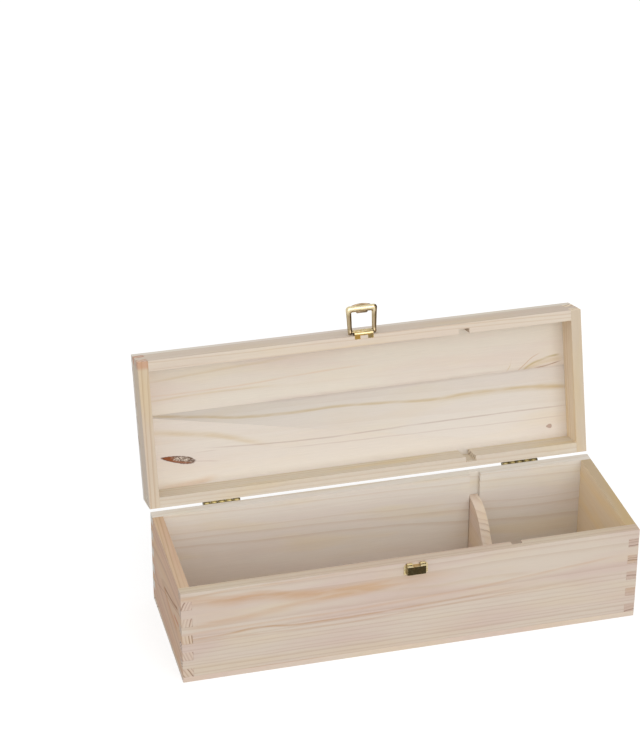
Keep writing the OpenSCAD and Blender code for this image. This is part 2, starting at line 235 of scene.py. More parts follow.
EARLY = srgb(226, 211, 194)
EARLY_PINK = srgb(222, 201, 187)
EARLY_GOLD = srgb(228, 206, 172)
LATE = srgb(198, 166, 128)
LATE_PINK = srgb(182, 148, 128)
END_LIGHT = srgb(232, 218, 202)
END_DARK = srgb(150, 122, 104)
TINTS = {
    "gold": srgb(206, 178, 134),
    "orange": srgb(210, 164, 118),
    "amber": srgb(194, 146, 100),
    "brown": srgb(158, 112, 76),
    "mauve": srgb(186, 158, 142),
    "olive": srgb(188, 164, 118),
    "rust": srgb(206, 140, 108),
}
KNOT_EDGE = srgb(88, 54, 38)
KNOT_HEART = srgb(142, 78, 42)
KNOT_PALE = srgb(224, 204, 184)
KNOT_GREY = srgb(116, 92, 70)
# Half length in mm from which a knot shows a speckled body beside its heart, and where
# the heart ends in half lengths, in such a knot and in a small one, which is all heart
EYE_KNOT = 6.0
EYE_HEART_END, SMALL_HEART_END = -0.05, 1.2

# The range that a mark's line can cover along g and across u, in mm
G_REACH = (-200.0, 200.0)
U_REACH = (-100.0, 150.0)

# How fast each pattern changes along the grain and across it, per mm
WANDER = (0.0065, 0.022)
RIPPLE = (0.03, 0.14)
BLUSH = (0.008, 0.05)
HONEY = (0.011, 0.06)
PATCHES = (0.04, 0.3)
BLOTS = (0.5, 1.1)
SPECKS = (1.0, 1.5)
FIBRES = (0.05, 3.1)
HAIRS = (0.12, 9.0)

# How much of a face's normal lies along an axis when the face counts as looking that way
FACING = (0.6, 0.9)

Mark = namedtuple("Mark", "points half_width strength tint taper")
Knot = namedtuple("Knot", "g u half_length half_width tilt dark")


def mark(points, half_width, strength=0.8, tint="gold", taper=14.0):
    """A drawn grain line through the places (g, u), fading out at both of its ends."""
    return Mark(sorted(points), half_width, strength, tint, taper)


def grain_noise(t, guv, rates, shift=(0.0, 0.0, 0.0), **settings):
    """Noise that changes at one rate along the grain and at another across it."""
    along, across = rates
    place = []
    for axis, rate, move in zip(guv, (along, across, across), shift):
        stretched = t.mul(axis, rate)
        place.append(t.add(stretched, move) if move else stretched)
    return t.noise(t.join(*place), 1.0, **settings)


def mark_mask(t, guv, wobble, line):
    """How strongly a mark shows, from 0 beside it to its strength along its middle."""
    g, u = guv[:2]
    path = t.curve(g, line.points, G_REACH, U_REACH)
    away = t.sub(t.sub(u, path), wobble)
    band = t.mul(t.ramp(away, -line.half_width * 1.7, 0.0), t.fall(away, 0.0, line.half_width))
    patches = grain_noise(t, (g, u, 0.0), PATCHES)
    band = t.mul(band, t.ramp(patches, 0.25, 0.6, 0.45, 1.0))
    start, end = line.points[0][0], line.points[-1][0]
    ends = t.mul(t.ramp(g, start - line.taper, start + line.taper),
                 t.fall(g, end - line.taper, end + line.taper))
    return t.mul(t.mul(band, ends), line.strength)


def from_knot(t, guv, knot):
    """How far a place is from a knot's middle: along it in half lengths, across it in mm."""
    g, u = guv[:2]
    along = t.sub(g, knot.g)
    return t.div(along, knot.half_length), t.sub(t.sub(u, knot.u), t.mul(along, knot.tilt))


def knot_colors(t, guv, color, knot):
    """An eye-shaped knot: pointed, red-brown heart at one end, speckled body, dark edge."""
    dark = knot.dark
    along, aside = from_knot(t, guv, knot)
    swell = t.add(1.0, t.mul(along, 0.4))
    aside = t.div(aside, t.mul(swell, knot.half_width))
    blot = grain_noise(t, guv, BLOTS, detail=3.0, rough=0.7)
    speck = grain_noise(t, guv, SPECKS, rough=0.6)
    gap = t.add(t.length(along, aside), t.mul(t.sub(blot, 0.5), 0.35))
    halo = t.mul(t.math("EXPONENT", t.mul(t.mul(gap, gap), -0.35)), 0.45 * dark)
    color = t.mix(halo, color, EARLY_PINK)
    body = t.mix(t.ramp(blot, 0.38, 0.6), KNOT_GREY, KNOT_PALE)
    body = t.mix(t.ramp(speck, 0.5, 0.6), body, KNOT_EDGE)
    heart_end = EYE_HEART_END if knot.half_length > EYE_KNOT else SMALL_HEART_END
    body = t.mix(t.fall(along, heart_end - 0.45, heart_end), body, KNOT_HEART)
    body = t.mix(t.mul(t.ramp(aside, 0.15, 0.6), 0.8), body, KNOT_HEART)
    color = t.mix(t.mul(t.fall(gap, 0.9, 1.04), dark), color, body)
    rim = t.mul(t.ramp(gap, 0.78, 0.94), t.fall(gap, 0.98, 1.1))
    return t.mix(t.mul(rim, 0.6 * dark * dark), color, KNOT_EDGE)


def turned_shut(t, vector, center):
    """A place or a direction on the open lid, turned to where it is when the lid is shut."""
    turn = t.node("ShaderNodeVectorRotate", rotation_type="X_AXIS")
    t.put(turn.inputs["Vector"], vector)
    turn.inputs["Center"].default_value = center
    turn.inputs["Angle"].default_value = LID_OPEN
    return turn.outputs[0]


def board_place(t, order, lid):
    """The place (g, u, v) in mm and the normal (x, y, z), both as on the shut box."""
    coords = t.node("ShaderNodeTexCoord")
    place, normal = coords.outputs["Object"], coords.outputs["Normal"]
    if lid:
        place = turned_shut(t, place, HINGE)
        normal = turned_shut(t, normal, (0.0, 0.0, 0.0))
    xyz = t.split(t.scaled(place, 1 / MM))
    return [xyz[i] for i in order], t.split(normal)


def grain_drift(t, guv, seed):
    """Slow wander of the grain across the face and through it, and a finer ripple."""
    slow = grain_noise(t, guv, WANDER, (seed, 0.0, 0.0), detail=1.5, output="Color")
    wander_u, wander_v = (t.sub(part, 0.5) for part in t.split(slow)[:2])
    fine = grain_noise(t, guv, RIPPLE, (0.0, seed, 0.0))
    return wander_u, wander_v, t.mul(t.sub(fine, 0.5), 1.6)


def pith_distance(t, guv, drift, pith, slope, warp, knots):
    """How far a place is from the pith, across the face and in all, bent round knots."""
    g, u, v = guv
    wander_u, wander_v, ripple = drift
    du = t.add(t.sub(t.sub(u, pith[0]), t.mul(g, slope[0])),
               t.add(t.mul(wander_u, warp * 2), ripple))
    dv = t.add(t.sub(t.sub(v, pith[1]), t.mul(g, slope[1])), t.mul(wander_v, warp * 1.4))
    radius = t.length(du, dv)
    for knot in knots:
        along, aside = from_knot(t, guv, knot)
        aside = t.div(aside, knot.half_width)
        gap = t.add(t.mul(along, along), t.mul(aside, aside))
        push = t.mul(t.math("EXPONENT", t.mul(gap, -0.22)), knot.half_width * 1.9)
        radius = t.add(radius, push)
    return du, radius


def annual_rings(t, radius, ring, shown, seed):
    """The place within a ring, 0 to 1, and its late wood: slow to darken, sharp at its end."""
    uneven = t.node("ShaderNodeTexNoise", noise_dimensions="1D")
    t.put(uneven.inputs["W"], t.add(t.mul(radius, 0.11), seed))
    uneven.inputs["Scale"].default_value = 1.0
    uneven.inputs["Detail"].default_value = 1.0
    turns = t.add(t.div(radius, ring), t.mul(uneven.outputs["Fac"], 1.3))
    chance = t.node("ShaderNodeTexWhiteNoise", noise_dimensions="1D")
    t.put(chance.inputs["W"], t.add(t.math("FLOOR", turns), seed * 7.3 + 0.37))
    strength = t.ramp(chance.outputs["Value"], *shown, 0.12, 1.0)
    part = t.math("FRACT", turns)
    late = t.mul(t.ramp(part, 0.2, 0.92), t.fall(part, 0.93, 1.0))
    return part, t.mul(t.mul(late, t.mul(late, late)), strength)


def wood_color(t, guv, late, seed, gold, pink):
    """Early wood that slowly changes hue, with the late wood over it."""
    blush = grain_noise(t, guv, BLUSH, (seed, 0.0, 0.0), detail=3.0)
    honey = grain_noise(t, guv, HONEY, (0.0, 0.0, seed))
    color = t.mix(t.mul(t.ramp(blush, 0.35, 0.7), pink * 2), EARLY, EARLY_PINK)
    color = t.mix(t.mul(t.ramp(honey, 0.45, 0.75), gold), color, EARLY_GOLD)
    late_color = t.mix(t.mul(blush, pink * 2), LATE, LATE_PINK)
    return t.mix(t.math("MULTIPLY", late, 0.8, clamp=True), color, late_color)


def drawn_lines(t, guv, color, drift, marks, knots):
    """The drawn marks and then the knots, over the wood's colour."""
    wander_u, _wander_v, ripple = drift
    wobble = t.add(t.mul(wander_u, 2.0), t.mul(ripple, 0.8))
    for line in marks:
        color = t.mix(mark_mask(t, guv, wobble, line), color, TINTS[line.tint])
    for knot in knots:
        color = knot_colors(t, guv, color, knot)
    return color


def end_grain(t, color, part, late):
    """Dark ring lines with a pale line behind each."""
    pale = t.mul(t.ramp(part, 0.05, 0.3), t.fall(part, 0.3, 0.6))
    color = t.mix(t.mul(pale, 0.7), color, END_LIGHT)
    return t.mix(t.math("MULTIPLY", t.math("POWER", late, 1.6), 0.9, clamp=True), color, END_DARK)


def face_tint(t, order, normal, tone, rim_shading_tone, outer_tone):
    """A board's tone on its faces and others on its rim and outer side: own colour and painted
    light and shade.
    """
    tint = (*tone, 1.0)
    # The rim's tone is partly its own look and partly painted shade; the inner faces' tone
    # carries painted light against the outer side's
    if rim_shading_tone:
        tint = t.mix(t.ramp(t.absolute(normal[2]), *FACING), tint, (*rim_shading_tone, 1.0))
    if outer_tone:
        tint = t.mix(t.ramp(normal[order[2]], *FACING), tint, (*outer_tone, 1.0))
    return tint


def pine(name, axes, pith, ring, seed, contrast, lid=False, slope=(0.0, 0.0), shown=(0.1, 0.8),
         warp=5.0, fade=0.3, gold=0.35, pink=0.5, marks=(), knots=(), tone=(1.0, 1.0, 1.0),
         end_tone=None, rim_shading_tone=None, outer_tone=None):
    """Pine with annual rings round a pith, so faces and end grain agree.

    axes names the board's GRAIN_AXES, and lid says that it stands open with the lid.
    pith is the pith's place (u, v) in mm at g = 0 and slope how it drifts along g.
    ring is the mean ring width and shown the range between hidden and full rings.
    warp is how far the grain wanders, contrast how dark late wood is on the faces and
    fade how much less where the rings lie square to the face. gold and pink say how much
    of those hues shows. marks are the drawn lines and knots the knots, in mm. The tones
    tint the board on its faces, its end grain, its rim and its side towards positive v:
    partly its own colour and partly painted light and shade, set face by face."""
    t = new_material("pine_" + name)
    order = GRAIN_AXES[axes]
    guv, normal = board_place(t, order, lid)
    drift = grain_drift(t, guv, seed)
    du, radius = pith_distance(t, guv, drift, pith, slope, warp, knots)
    part, full_late = annual_rings(t, radius, ring, shown, seed)
    quarter = t.div(t.absolute(du), radius)
    late = t.mul(full_late, t.mul(t.sub(1.0, t.mul(quarter, fade)), contrast))
    color = wood_color(t, guv, late, seed, gold, pink)
    color = drawn_lines(t, guv, color, drift, marks, knots)
    end_color = end_grain(t, color, part, full_late)

    # Fibres and resin lines darken the wood a little, and the tones tint it with its own colour
    # and painted light and shade
    fibre = grain_noise(t, guv, FIBRES, detail=3.0, rough=0.65)
    hair = grain_noise(t, guv, HAIRS, detail=1.0)
    light = t.add(t.add(t.mul(t.sub(fibre, 0.5), 0.16), t.mul(t.sub(hair, 0.5), 0.09)), 1.0)
    tint = face_tint(t, order, normal, tone, rim_shading_tone, outer_tone)
    color = t.mix(1.0, t.mix(1.0, color, tint, "MULTIPLY"), t.join(light, light, light),
                  "MULTIPLY")
    end_tint = t.join(*(t.mul(light, c) for c in (end_tone or tone)))
    endness = t.ramp(t.absolute(normal[order[0]]), *FACING)
    color = t.mix(endness, color, t.mix(1.0, end_color, end_tint, "MULTIPLY"))

    relief = t.add(t.mul(fibre, 0.5), t.add(t.mul(hair, 0.25), t.mul(late, 0.35)))
    bumped = t.bump(relief, 0.35, 0.12 * MM)
    rough = t.ramp(late, 0.0, 1.0, 0.66, 0.52)
    return t.principled(color, rough, bumped, **{"Specular IOR Level": 0.3})


# Marks run along g: x on the long boards and the lid panel, y on the end boards.
FRONT_MARKS = (
    mark(((-183, 76), (-166, 74), (-148, 71), (-120, 71), (-89, 66), (-40, 65),
          (10, 66)), 5.5, 0.62, "orange", 45),
    mark(((-174, 50), (-140, 52), (-106, 56), (-60, 60), (-30, 61)), 3.4, 0.4, "orange"),
    mark(((-33, 61), (-6, 57), (21, 56), (48, 57), (90, 56)), 2.2, 0.25, "gold"),
    mark(((-183, 44), (-140, 44), (-97, 45), (-60, 45), (-6, 47), (48, 49), (104, 54), (160, 59)),
         1.4, 0.32, "orange"),
    mark(((-183, 38), (-148, 39), (-123, 41), (-97, 39), (-59, 39), (22, 41), (60, 43)),
         1.2, 0.58, "amber", 50),
    mark(((-183, 35), (-123, 35), (-59, 34), (22, 37), (76, 39), (132, 41)), 1.0, 0.32, "amber",
         40),
    mark(((-183, 76), (-150, 79), (-100, 79), (-60, 80)), 1.2, 0.35, "orange", 30),
    mark(((-160, 3.5), (-106, 5), (-59, 4)), 0.8, 0.35, "orange"),
    mark(((-152, 2), (-149, 2.5)), 1.2, 0.9, "brown", 1.0),
)
PANEL_FRONT_MARKS = (
    mark(((-166, -37), (-106, -41), (-60, -43)), 1.2, 0.35, "gold"),
    mark(((-172, -21), (-121, -23), (-69, -22)), 1.0, 0.4, "gold"),
    mark(((-171, -25), (-95, -26), (-45, -29), (0, -30)), 0.8, 0.3, "orange"),
    mark(((134, -9), (141, -14), (146, -18), (152, -21)), 0.5, 0.7, "amber", 3),
    mark(((139, -9), (148, -14), (155, -16), (161, -17.5), (170, -18.5)), 1.0, 0.9, "olive", 3),
    mark(((139, -9), (148, -12), (155, -13.5), (161, -14.5), (172, -15.5)), 2.6, 0.5, "gold", 4),
    mark(((150, -10), (160, -11), (170, -13)), 0.6, 0.85, "brown", 4),
    mark(((125, -10), (128, -14), (129, -17)), 0.9, 0.6, "gold", 1.5),
    mark(((-80, -10.2), (0, -10.2), (172, -10.2)), 1.7, 0.3, "mauve", 40),
)
PANEL_BACK_MARKS = (
    mark(((-172, -9), (-136, -4), (-101, 0.5), (-60, 2), (-20, 1.5), (19, 3.3), (58, 6),
          (90, 5), (115, 5), (144, 6), (173, 9)), 1.5, 0.72, "gold", 8),
    mark(((150, 7), (166, 8), (174, 9)), 3.0, 0.45, "gold", 5),
    mark(((-80, -9.2), (0, -9.2), (172, -9.2)), 1.9, 0.3, "mauve", 40),
    mark(((62, 7.5), (90, 6.5), (144, 7.5), (174, 10.5)), 3.0, 0.35, "gold", 20),
    mark(((-120, 23), (-83, 25), (-39, 26.5), (23, 25.5), (86, 25), (172, 25.5)), 0.7, 0.6,
         "mauve"),
    mark(((-60, 31), (0, 32), (80, 33), (172, 34)), 0.6, 0.35, "mauve"),
    mark(((-174, 5), (-146, 9), (-123, 13), (-105, 18), (-89, 23)), 2.8, 0.55, "gold", 20),
    mark(((-170, 52), (-153, 51), (-143, 50), (-126, 48)), 3.0, 0.4, "orange", 8),
    mark(((-139, 25), (-132, 25), (-122, 25)), 0.5, 0.4, "mauve", 4),
    mark(((-140, 32), (-132, 33), (-122, 34)), 0.5, 0.5, "mauve", 4),
)
LEFT_MARKS = (
    mark(((9, 43), (-2, 46), (-19, 50), (-45, 58)), 1.7, 1.0, "brown", 3),
    mark(((9, 43), (0, 40), (-19, 38), (-40, 36)), 2.2, 0.85, "orange", 4),
    mark(((54, 21), (12, 37), (-36, 52), (-60, 60)), 0.7, 0.5, "brown"),
    mark(((50, 78), (28, 77), (-19, 77), (-46, 76)), 0.7, 0.5, "orange"),
    mark(((-30, 43), (-40, 44), (-48, 45)), 1.8, 0.9, "rust", 3),
)

# Tones are partly each board's colour and partly painted light and shade: tone lifts the inner
# faces against the shade inside box and lid, outer_tone keeps the outer side's colour, the rim
# tones mostly darken the rims, and the left end's tone darkens its outer face.
BOARDS = {
    "base_front_board": dict(axes="along_edge", pith=(59, -30), ring=2.8, seed=1.7, contrast=0.2,
                             shown=(-0.4, 0.7), warp=1.2, gold=0.35, pink=0.6, fade=-1.4,
                             marks=FRONT_MARKS, tone=(0.92, 0.93, 0.95),
                             rim_shading_tone=(0.82, 0.81, 0.76),
                             end_tone=(0.9, 0.86, 0.86)),
    "base_back_board": dict(axes="along_edge", pith=(18, 96), slope=(-0.01, 0.02), ring=4.2,
                            seed=4.1, contrast=0.4, gold=0.5, pink=0.2, tone=(1.03, 1.14, 1.25),
                            outer_tone=(1.0, 1.02, 1.02)),
    "base_left_end": dict(axes="across", pith=(43, -123), slope=(0.0, 0.035), ring=2.6, seed=2.9,
                          contrast=0.8, shown=(0.0, 0.9), gold=0.7, pink=0.8, warp=2.0,
                          marks=LEFT_MARKS, tone=(0.91, 0.77, 0.66), end_tone=(0.9, 0.86, 0.84),
                          rim_shading_tone=(0.84, 0.73, 0.59)),
    "base_right_end": dict(axes="across", pith=(-130, 190), slope=(0.02, 0.02), ring=2.6,
                           seed=6.2, contrast=0.35, gold=1.0, pink=0.1, tone=(1.12, 1.09, 0.94),
                           outer_tone=(0.94, 0.92, 0.9),
                           rim_shading_tone=(0.72, 0.66, 0.52),
                           end_tone=(0.78, 0.7, 0.7)),
    "bottom_panel": dict(axes="along_face", pith=(14, -42), slope=(0.01, 0.02), ring=4.0,
                         seed=8.8, contrast=0.6),
    "neck_rest": dict(axes="across", pith=(-14, 60), slope=(0.0, 0.02), ring=3.6, seed=9.4,
                      contrast=0.5, gold=0.6),
    "lid_front_rail": dict(axes="along_edge", lid=True, pith=(70, -75), slope=(0.004, 0.01),
                           ring=2.6, seed=3.3, contrast=0.6, gold=0.5, pink=0.2, warp=2.0,
                           tone=(0.92, 0.92, 0.91), rim_shading_tone=(0.98, 1.0, 1.0)),
    "lid_back_rail": dict(axes="along_edge", lid=True, pith=(120, 20), slope=(0.006, 0.01),
                          ring=3.0, seed=5.5, contrast=0.5, gold=0.8, pink=0.1, warp=2.0,
                          tone=(1.0, 1.05, 1.03), rim_shading_tone=(0.9, 0.94, 0.95),
                          outer_tone=(0.95, 0.95, 0.95)),
    "lid_left_end": dict(axes="across", lid=True, pith=(66, -160), slope=(0.05, 0.02), ring=3.2,
                         seed=7.7, contrast=0.8, gold=0.7, pink=0.2, warp=2.0,
                         marks=(mark(((-66, 96), (-54, 96)), 24.0, 0.75, "rust", 2.0),),
                         tone=(0.95, 0.96, 0.96), rim_shading_tone=(0.88, 0.87, 0.82)),
    "lid_right_end": dict(axes="across", lid=True, pith=(140, 150), slope=(0.02, 0.02), ring=3.4,
                          seed=10.3, contrast=0.6, gold=0.8, pink=0.2, warp=2.0,
                          tone=(1.15, 1.14, 1.04), rim_shading_tone=(0.86, 0.85, 0.78),
                          outer_tone=(0.95, 0.92, 0.87)),
    "lid_panel_front_board": dict(axes="along_face", lid=True, pith=(70, 30), slope=(0.02, 0.0),
                                  ring=6.0, seed=12.6, contrast=0.12, shown=(0.3, 1.0), warp=3.0,
                                  pink=0.35, gold=0.2, marks=PANEL_FRONT_MARKS,
                                  tone=(1.04, 1.12, 1.18), outer_tone=(1.02, 1.05, 1.06)),
    "lid_panel_back_board": dict(axes="along_face", lid=True, pith=(-60, 40), slope=(0.015, 0.0),
                                 ring=6.5, seed=14.2, contrast=0.12, shown=(0.3, 1.0), warp=3.0,
                                 pink=0.12, gold=0.25, marks=PANEL_BACK_MARKS,
                                 tone=(1.02, 1.095, 1.185), outer_tone=(1.02, 1.05, 1.06),
                                 knots=(Knot(-153.5, 28.8, 13.6, 3.0, tilt=0.2, dark=1.0),
                                        Knot(159.0, 41.0, 2.5, 1.7, tilt=0.0, dark=0.5))),
}


# --------------------------------------------------------------------- brass
GOLD = srgb(206, 176, 106)
GOLD_PALE = srgb(226, 206, 158)
GOLD_SOFT = srgb(214, 196, 150)
GOLD_WHITE = srgb(236, 224, 192)
OLIVE_GOLD = srgb(176, 160, 84)
BROWN_GOLD = srgb(108, 84, 40)
MAUVE_GREY = srgb(198, 180, 168)
BRONZE = srgb(96, 78, 38)
BRONZE_DEEP = srgb(72, 60, 38)
BRONZE_OLIVE = srgb(126, 108, 72)
BRONZE_GREY = srgb(152, 130, 104)
# Near black brown: painted dark reflection on the catch's face and on the plate
DARK_REFLECTION = srgb(44, 37, 18)

# How far the standing loop leans back from upright
LOOP_LEAN = LID_OPEN + LOOP_UP - math.pi
# Directions square to the box's front, the open lid's front rail and the loop's flats
BOX_FACE = (0.0, 1.0, 0.0)
LID_FACE = (0.0, -math.cos(LID_OPEN), math.sin(LID_OPEN))
LOOP_FACE = (0.0, math.cos(LOOP_LEAN), -math.sin(LOOP_LEAN))

# Where a painted highlight thins the dark out, as (axis, from, to), and where painted shade
# gathers, as (from, to) in height, in mm
Y_AXIS, Z_AXIS = 1, 2
CATCH_HIGHLIGHT, CATCH_SHADE_BAND = (Y_AXIS, -61.1, -60.7), (79.1, 80.2)
PLATE_HIGHLIGHT, PLATE_SHADE_BAND = (Z_AXIS, 198.6, 199.8), (200.3, 206.0)
LOOP_HIGHLIGHT = (Z_AXIS, 212.0, 217.0)

# The hinges' middle and the pitch of their knuckles, from a pin as long as its hinge, in mm
KNUCKLES, KNUCKLE_GAP = 5, 0.35
PIN_START, PIN_END = (corner.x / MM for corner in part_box("right_hinge_pin"))
HINGE_X = (PIN_START + PIN_END) / 2
KNUCKLE_PITCH = (PIN_END - PIN_START + KNUCKLE_GAP) / KNUCKLES


def worn_edge(t, width):
    """1 along edges and 0 on flats: where a rounded edge's normal leaves the true one."""
    rounded = t.node("ShaderNodeBevel", samples=8)
    rounded.inputs["Radius"].default_value = width * MM
    geometry = t.node("ShaderNodeNewGeometry")
    facing = t.dot(rounded.outputs[0], geometry.outputs["Normal"])
    return t.fall(facing, 0.84, 0.99)


def knuckle_glints(t, x, middle, pitch):
    """How much of the dark stays on a hinge's knuckles: less on each one's middle, a painted
    highlight.
    """
    part = t.div(t.sub(t.absolute(x), middle), pitch)
    off_middle = t.absolute(t.sub(t.math("FRACT", t.add(part, 0.5)), 0.5))
    return t.ramp(off_middle, 0.1, 0.42, 0.45, 1.0)


def brass(name, face, dark_face, dark_end, dark_rest, rough, golds, darks, highlight_span=None,
          shade_band=None, knuckles=None, worn=0.4):
    """Bronzed brass sheet, worn bright along its edges.

    face is the direction its flats look along; dark_face, dark_end and dark_rest say how
    dark the metal is on the flats, on what looks along x and on the rest, 0 to 1: patina
    and painted dark reflection, set by which way a face looks. golds and darks are the two
    hues of bare metal and of that dark. highlight_span is (axis, from, to) in mm: a painted
    highlight, where the dark thins out along that axis. shade_band is the pair of heights
    between which painted shade gathers, knuckles the (middle, pitch) of hinge knuckles that
    get a painted highlight on each one's middle, and worn the width of the bright edges."""
    t = new_material("brass_" + name)
    coords = t.node("ShaderNodeTexCoord")
    place, normal = t.scaled(coords.outputs["Object"], 1 / MM), coords.outputs["Normal"]
    x, y, z = t.split(place)
    cloud = t.noise(place, 0.22, 3.0)
    speck = t.noise(place, 1.1, 4.0, 0.55)
    scratch = t.noise(t.join(t.mul(x, 0.6), t.mul(y, 6.0), t.mul(z, 6.0)), 1.0)

    # Painted dark reflection with patina: how dark the metal is depends on which way a face
    # looks, with a patina cloud over it
    flat = t.absolute(t.dot(normal, face))
    endwise = t.absolute(t.split(normal)[0])
    patina_and_shading = t.add(t.ramp(flat, 0.8, 0.96, dark_rest, dark_face),
                   t.ramp(endwise, 0.75, 0.95, 0.0, dark_end - dark_rest))
    patina_and_shading = t.math("ADD", patina_and_shading, t.mul(t.sub(cloud, 0.5), 0.35), clamp=True)
    # Painted highlight: the dark thins out along one axis, lighting the catch's flange, the
    # plate's rolled edge and the loop's top
    if highlight_span:
        axis, start, end = highlight_span
        patina_and_shading = t.mul(patina_and_shading, t.ramp((x, y, z)[axis], start, end, 1.0, 0.25))
    # Painted shade: a band of heights is darkened
    if shade_band:
        low, high = shade_band
        band = t.mul(t.ramp(z, low, low + 0.2), t.fall(z, high - 0.3, high))
        patina_and_shading = t.math("ADD", patina_and_shading, t.mul(band, 0.6), clamp=True)
    # Painted highlight on the middle of each hinge knuckle
    if knuckles:
        patina_and_shading = t.mul(patina_and_shading, knuckle_glints(t, x, *knuckles))
    patina_and_shading = t.mul(patina_and_shading, t.sub(1.0, t.mul(worn_edge(t, worn), 0.85)))

    dark = t.mix(t.ramp(cloud, 0.3, 0.65), *darks)
    gold = t.mix(t.ramp(speck, 0.2, 0.8), *golds)
    roughness = t.add(t.ramp(cloud, 0.3, 0.7, rough + 0.06, rough - 0.05), t.mul(speck, 0.05))
    bumped = t.bump(t.add(t.mul(speck, 0.5), t.mul(scratch, 0.5)), 0.1, 0.04 * MM)
    return t.principled(t.mix(patina_and_shading, gold, dark), roughness, bumped, Metallic=1.0)


# How dark each brass is on its flats, its sides along x and the rest is patina and painted dark
# reflection
METAL = {
    "hinge": brass("hinge", BOX_FACE, 0.9, 0.95, 0.9, 0.3, (OLIVE_GOLD, GOLD_PALE),
                   (BRONZE, BRONZE_DEEP), knuckles=(HINGE_X, KNUCKLE_PITCH), worn=0.2),
    "catch": brass("catch", BOX_FACE, 1.0, 0.8, 0.1, 0.2, (GOLD, GOLD_WHITE),
                   (DARK_REFLECTION, BRONZE_DEEP), highlight_span=CATCH_HIGHLIGHT, shade_band=CATCH_SHADE_BAND),
    "loop": brass("loop", LOOP_FACE, 0.85, 0.6, 0.5, 0.2, (GOLD_SOFT, GOLD_WHITE),
                  (BRONZE_OLIVE, BRONZE_GREY), highlight_span=LOOP_HIGHLIGHT),
    # The lip and the tongue: a darker, greyer copy of the loop's brass on the same sheet, painted
    # shade
    "lip": brass("lip", LOOP_FACE, 0.8, 0.6, 0.45, 0.24, (BRONZE_GREY, MAUVE_GREY),
                 (BRONZE, BRONZE_GREY)),
    "plate": brass("plate", LID_FACE, 0.3, 0.8, 0.95, 0.2, (GOLD, GOLD_WHITE),
                   (DARK_REFLECTION, BROWN_GOLD), highlight_span=PLATE_HIGHLIGHT, shade_band=PLATE_SHADE_BAND, worn=0.15),
}


def metal_of(node):
    """The brass of a CAD node; what isn't named is part of a hinge."""
    for key in ("catch", "loop", "plate"):
        if key in node:
            return METAL[key]
    return METAL["hinge"]


# ------------------------------------------------------- dress the CAD nodes
# Width of the eased edges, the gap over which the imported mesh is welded, and the angle
# from which an edge counts as sharp
EASED = 0.26 * MM
WELD_GAP = 0.01 * MM
SHARP = math.radians(35)


def ease(obj, width, segments, sharp):
    """Rounds an object's sharp edges."""
    bevel = obj.modifiers.new("eased", "BEVEL")
    bevel.width = width
    bevel.segments = segments
    bevel.limit_method = "ANGLE"
    bevel.angle_limit = sharp


def dress(obj, material, segments):
    """Gives a CAD node its material and eased edges; its own mesh stays as packed."""
    obj.data.materials.clear()
    obj.data.materials.append(material)
    weld = obj.modifiers.new("weld", "WELD")
    weld.merge_threshold = WELD_GAP
    ease(obj, EASED, segments, SHARP)


for node_name, node in frame["nodes"].items():
    if node_name in BOARDS:
        dress(node, pine(node_name, **BOARDS[node_name]), segments=2)
    else:
        dress(node, metal_of(node_name), segments=3)


# ------------------------------------------------------------ the clasp's loop
# The loop stands up from its pivot: x across it, s along it from the pivot to its
# free end, n out through it from the side that closes on the box. Sizes in mm.
LOOP_ALONG = Vector((0.0, math.sin(LOOP_LEAN), math.cos(LOOP_LEAN)))
# Its length and width, the width of its side and end bars, and how much narrower it and
# its opening are at the pivot
LOOP_L, LOOP_W, BAR_W, END_BAR = 22.0, 26.0, 3.6, 5.3
LOOP_TAPER, HOLE_TAPER = 2.4, 0.4
# Half widths of the loop and of its opening, at the pivot and at the far end
FOOT_HALF, END_HALF = (LOOP_W - LOOP_TAPER) / 2, LOOP_W / 2
HOLE_FOOT = FOOT_HALF - BAR_W
HOLE_FAR = HOLE_FOOT + HOLE_TAPER / 2
HOLE_END = LOOP_L - END_BAR
CORNER_R, HOLE_R = 3.0, 0.9
# Radius of the eyes at the pivot, the back and front of the bars beyond them, and how far
# along the loop each of these two is reached
EYE_R, LOOP_BACK, LOOP_FRONT = 1.7, -1.1, 2.4
BACK_REACH, FRONT_REACH = 2.0, 4.0
# The pivot pins, the tongue and the finger lip
PIN_R, PIN_FROM, PIN_TO = 1.0, 4.6, 11.4
TONGUE_HALF, TONGUE_TIP, TONGUE_ROOT, TONGUE_CUT = 4.8, 15.85, 1.4, 0.7
TONGUE_BACK, TONGUE_FRONT = -0.6, 0.1
LIP_HALF, LIP_RISE, LIP_ROOT = 7.8, 1.3, 1.2
LIP_BACK, LIP_FRONT = 1.35, 2.1
# The lip's curl, from its back to its front, as (how far below its top, n)
LIP_CURL = ((0.45, 1.4), (0.12, 1.55), (0.0, 1.8), (0.2, 2.05), (0.6, 2.1))
# How far the lip stays inside the CAD model's
LIP_INSIDE = 0.01
LOOP_EASED = 0.15
LOOP_SHARP = math.radians(50)

# Places of the bar's sections, s along its sides and x across its free end, and the steps
# of a corner, a section, the lip and a pin
SIDE_STATIONS = (-1.66, -1.5, -1.2, -0.7, 0.0, 1.0, 2.0, 3.0, 4.0, 8.0, 12.0, 15.5)
END_STATIONS = (6.0, 3.0, 0.0)
CORNER_STEPS, SECTION_STEPS, LIP_STEPS, PIN_STEPS = 8, 28, 24, 24


def loop_point(x, s, n):
    """A place on the loop, in metres in the frame."""
    return PIVOT + (Vector((x, 0.0, 0.0)) + LOOP_ALONG * s + Vector(LOOP_FACE) * n) * MM


def skin(bm, rings, slot=0):
    """Joins rings of equal length into a skin, with a face over each of its two ends."""
    made = [[bm.verts.new(loop_point(*p)) for p in ring] for ring in rings]
    faces = []
    for a, b in zip(made, made[1:]):
        count = len(a)
        faces += [bm.faces.new((a[i], a[(i + 1) % count], b[(i + 1) % count], b[i]))
                  for i in range(count)]
    faces += [bm.faces.new(made[0][::-1]), bm.faces.new(made[-1])]
    for face in faces:
        face.material_index = slot


